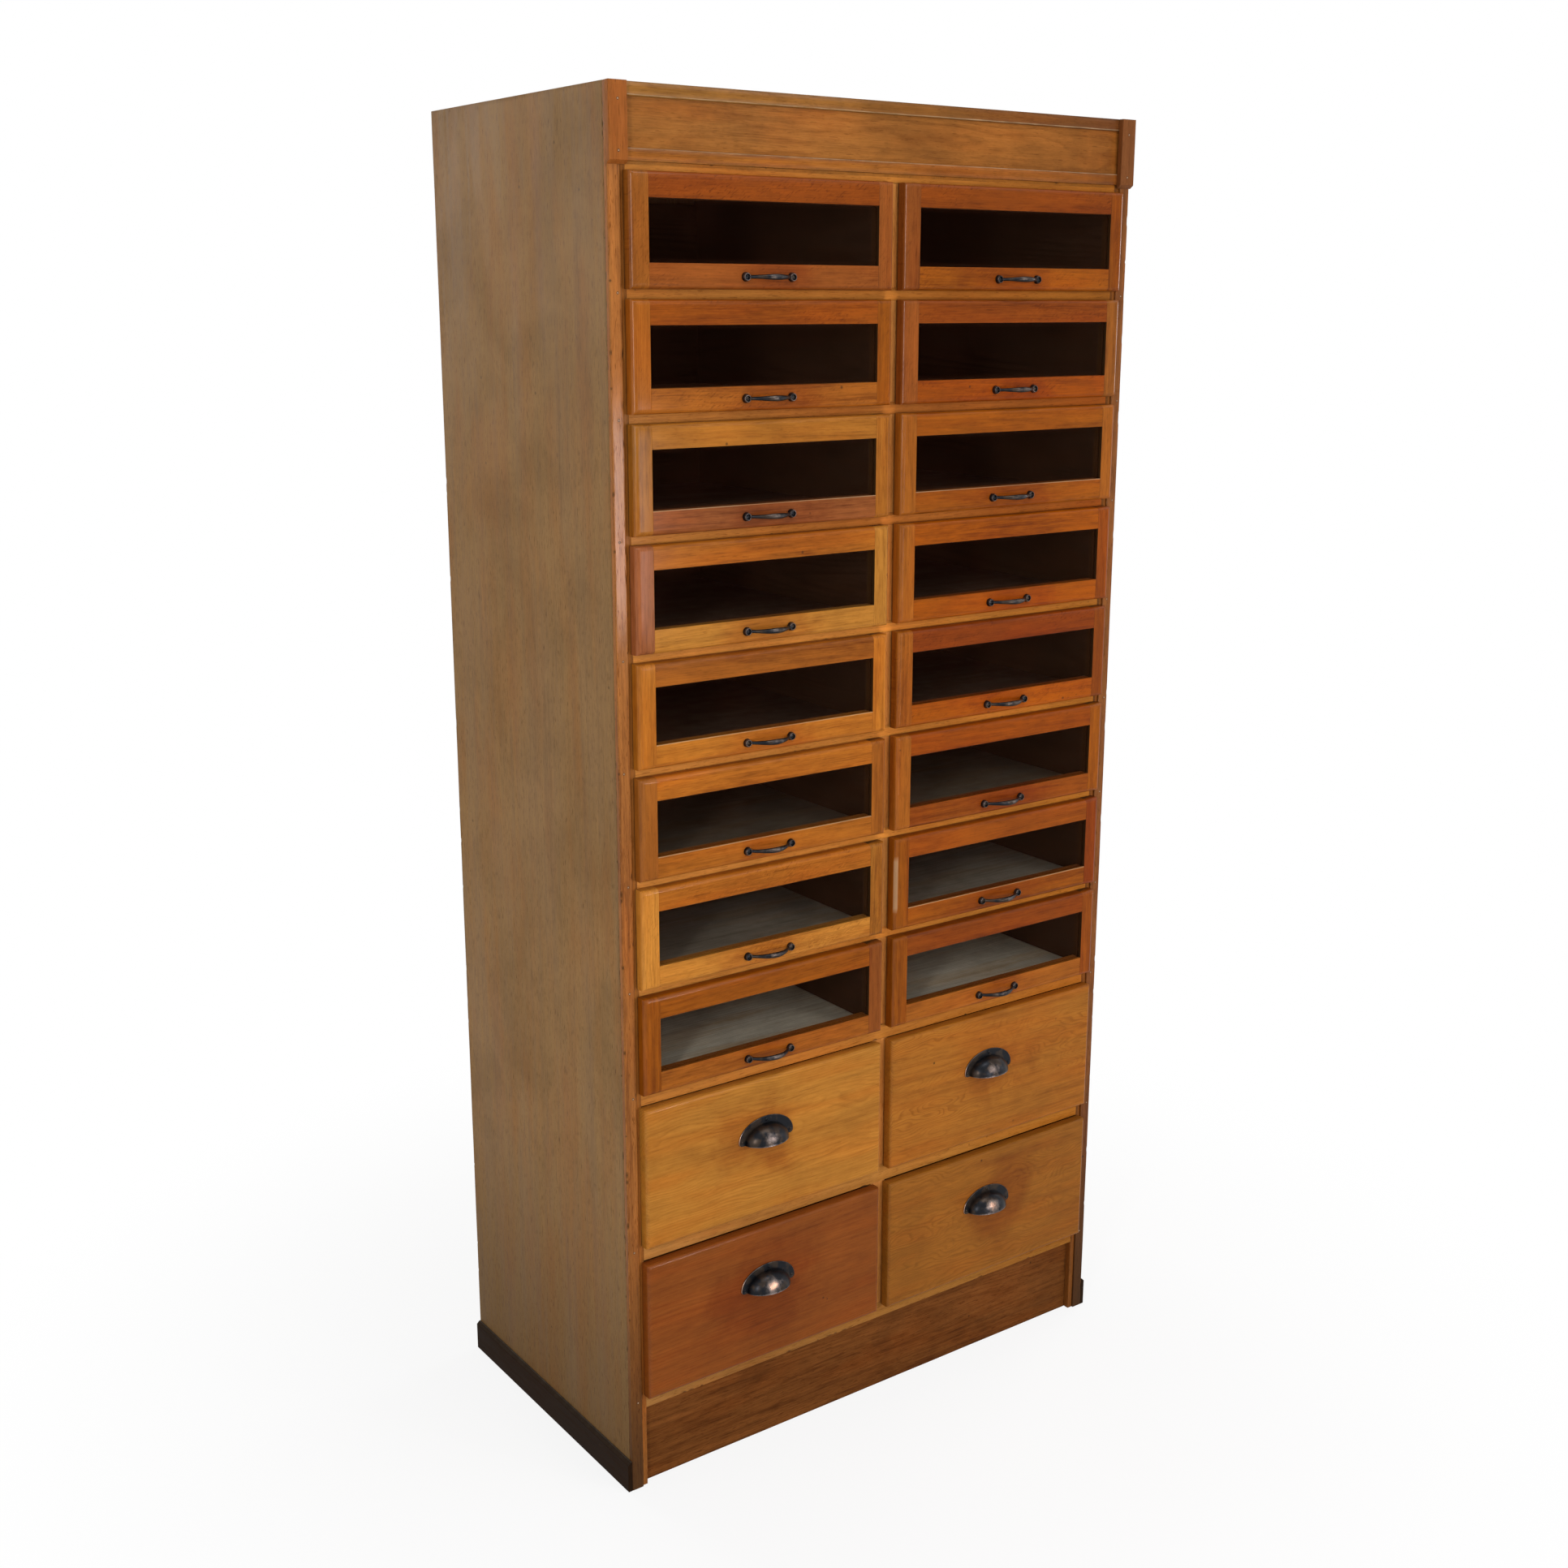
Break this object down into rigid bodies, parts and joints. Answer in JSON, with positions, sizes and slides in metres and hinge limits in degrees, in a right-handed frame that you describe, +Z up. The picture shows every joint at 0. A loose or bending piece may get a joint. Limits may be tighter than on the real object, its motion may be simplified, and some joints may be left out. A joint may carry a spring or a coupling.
{
  "type": "haberdashery cabinet",
  "caption": "Tall oak haberdashery cabinet: glazed display drawers with bow pulls above deep solid drawers with cup pulls, side by side in a framed case on a plinth.",
  "frame": {"origin": "on the floor, in the middle of the whole object's width and depth, pulls and skirting included", "axes": "+X to the right seen from the front, +Y from the front to the back, +Z up"},
  "size_m": [0.944, 0.5376, 2],
  "materials": {
    "side_oak": "thin veneer with a vertical grain, greenish brown, waxed, satin",
    "rail_oak": "solid oak, worn golden varnish, satin",
    "stile_oak": "solid oak, red brown varnish, satin",
    "frieze_oak": "solid oak, golden brown varnish, satin",
    "plinth_oak": "solid oak, dark and scuffed near the floor",
    "skirting_oak": "solid oak, almost black, dull",
    "inner_wood": "bare softwood, aged, matt",
    "red_oak": "solid oak, reddish varnish, satin",
    "golden_oak": "solid oak, golden varnish, satin",
    "dark_oak": "solid oak, dark red brown varnish, satin",
    "glass": "clear sheet glass",
    "bronze": "dark bronzed metal, worn to copper on the high points"
  },
  "bodies": {
    "case": {"side_panel_left": "side_oak", "side_panel_right": "side_oak", "top_board": "side_oak", "bottom_board": "inner_wood", "back_panel": "inner_wood", "runner_ladder_left": "inner_wood", "runner_ladder_right": "inner_wood", "centre_partition": "inner_wood", "plinth_back": "inner_wood", "face_frame": "rail_oak", "front_stile_left": "stile_oak", "front_stile_right": "stile_oak", "frieze_block_left": "stile_oak", "frieze_block_right": "stile_oak", "frieze_board": "frieze_oak", "frieze_top_moulding": "frieze_oak", "frieze_lower_band": "frieze_oak", "plinth_front": "plinth_oak", "plinth_side_left": "skirting_oak", "plinth_side_right": "skirting_oak"},
    "drawer_left_1": {"display_drawer_left_1": "red_oak", "glass_pane_left_1": "glass"},
    "drawer_left_2": {"display_drawer_left_2": "red_oak", "glass_pane_left_2": "glass"},
    "drawer_left_3": {"display_drawer_left_3": "golden_oak", "glass_pane_left_3": "glass"},
    "drawer_left_4": {"display_drawer_left_4": "golden_oak", "glass_pane_left_4": "glass"},
    "drawer_left_5": {"display_drawer_left_5": "golden_oak", "glass_pane_left_5": "glass"},
    "drawer_left_6": {"display_drawer_left_6": "golden_oak", "glass_pane_left_6": "glass"},
    "drawer_left_7": {"display_drawer_left_7": "golden_oak", "glass_pane_left_7": "glass"},
    "drawer_left_8": {"display_drawer_left_8": "golden_oak", "glass_pane_left_8": "glass"},
    "drawer_left_9": {"deep_drawer_left_9": "golden_oak", "cup_pull_left_9": "bronze"},
    "drawer_left_10": {"deep_drawer_left_10": "dark_oak", "cup_pull_left_10": "bronze"},
    "drawer_right_1": {"display_drawer_right_1": "red_oak", "glass_pane_right_1": "glass"},
    "drawer_right_2": {"display_drawer_right_2": "red_oak", "glass_pane_right_2": "glass"},
    "drawer_right_3": {"display_drawer_right_3": "golden_oak", "glass_pane_right_3": "glass"},
    "drawer_right_4": {"display_drawer_right_4": "golden_oak", "glass_pane_right_4": "glass"},
    "drawer_right_5": {"display_drawer_right_5": "golden_oak", "glass_pane_right_5": "glass"},
    "drawer_right_6": {"display_drawer_right_6": "golden_oak", "glass_pane_right_6": "glass"},
    "drawer_right_7": {"display_drawer_right_7": "golden_oak", "glass_pane_right_7": "glass"},
    "drawer_right_8": {"display_drawer_right_8": "golden_oak", "glass_pane_right_8": "glass"},
    "drawer_right_9": {"deep_drawer_right_9": "golden_oak", "cup_pull_right_9": "bronze"},
    "drawer_right_10": {"deep_drawer_right_10": "golden_oak", "cup_pull_right_10": "bronze"}
  },
  "joints": [
    {"name": "drawer_left_1_slide", "type": "slide", "parent": "case", "child": "drawer_left_1", "axis": [0, -1, 0], "range_m": [0, 0.38]},
    {"name": "drawer_left_2_slide", "type": "slide", "parent": "case", "child": "drawer_left_2", "axis": [0, -1, 0], "range_m": [0, 0.38]},
    {"name": "drawer_left_3_slide", "type": "slide", "parent": "case", "child": "drawer_left_3", "axis": [0, -1, 0], "range_m": [0, 0.38]},
    {"name": "drawer_left_4_slide", "type": "slide", "parent": "case", "child": "drawer_left_4", "axis": [0, -1, 0], "range_m": [0, 0.38]},
    {"name": "drawer_left_5_slide", "type": "slide", "parent": "case", "child": "drawer_left_5", "axis": [0, -1, 0], "range_m": [0, 0.38]},
    {"name": "drawer_left_6_slide", "type": "slide", "parent": "case", "child": "drawer_left_6", "axis": [0, -1, 0], "range_m": [0, 0.38]},
    {"name": "drawer_left_7_slide", "type": "slide", "parent": "case", "child": "drawer_left_7", "axis": [0, -1, 0], "range_m": [0, 0.38]},
    {"name": "drawer_left_8_slide", "type": "slide", "parent": "case", "child": "drawer_left_8", "axis": [0, -1, 0], "range_m": [0, 0.38]},
    {"name": "drawer_left_9_slide", "type": "slide", "parent": "case", "child": "drawer_left_9", "axis": [0, -1, 0], "range_m": [0, 0.38]},
    {"name": "drawer_left_10_slide", "type": "slide", "parent": "case", "child": "drawer_left_10", "axis": [0, -1, 0], "range_m": [0, 0.38]},
    {"name": "drawer_right_1_slide", "type": "slide", "parent": "case", "child": "drawer_right_1", "axis": [0, -1, 0], "range_m": [0, 0.38]},
    {"name": "drawer_right_2_slide", "type": "slide", "parent": "case", "child": "drawer_right_2", "axis": [0, -1, 0], "range_m": [0, 0.38]},
    {"name": "drawer_right_3_slide", "type": "slide", "parent": "case", "child": "drawer_right_3", "axis": [0, -1, 0], "range_m": [0, 0.38]},
    {"name": "drawer_right_4_slide", "type": "slide", "parent": "case", "child": "drawer_right_4", "axis": [0, -1, 0], "range_m": [0, 0.38]},
    {"name": "drawer_right_5_slide", "type": "slide", "parent": "case", "child": "drawer_right_5", "axis": [0, -1, 0], "range_m": [0, 0.38]},
    {"name": "drawer_right_6_slide", "type": "slide", "parent": "case", "child": "drawer_right_6", "axis": [0, -1, 0], "range_m": [0, 0.38]},
    {"name": "drawer_right_7_slide", "type": "slide", "parent": "case", "child": "drawer_right_7", "axis": [0, -1, 0], "range_m": [0, 0.38]},
    {"name": "drawer_right_8_slide", "type": "slide", "parent": "case", "child": "drawer_right_8", "axis": [0, -1, 0], "range_m": [0, 0.38]},
    {"name": "drawer_right_9_slide", "type": "slide", "parent": "case", "child": "drawer_right_9", "axis": [0, -1, 0], "range_m": [0, 0.38]},
    {"name": "drawer_right_10_slide", "type": "slide", "parent": "case", "child": "drawer_right_10", "axis": [0, -1, 0], "range_m": [0, 0.38]}
  ]
}
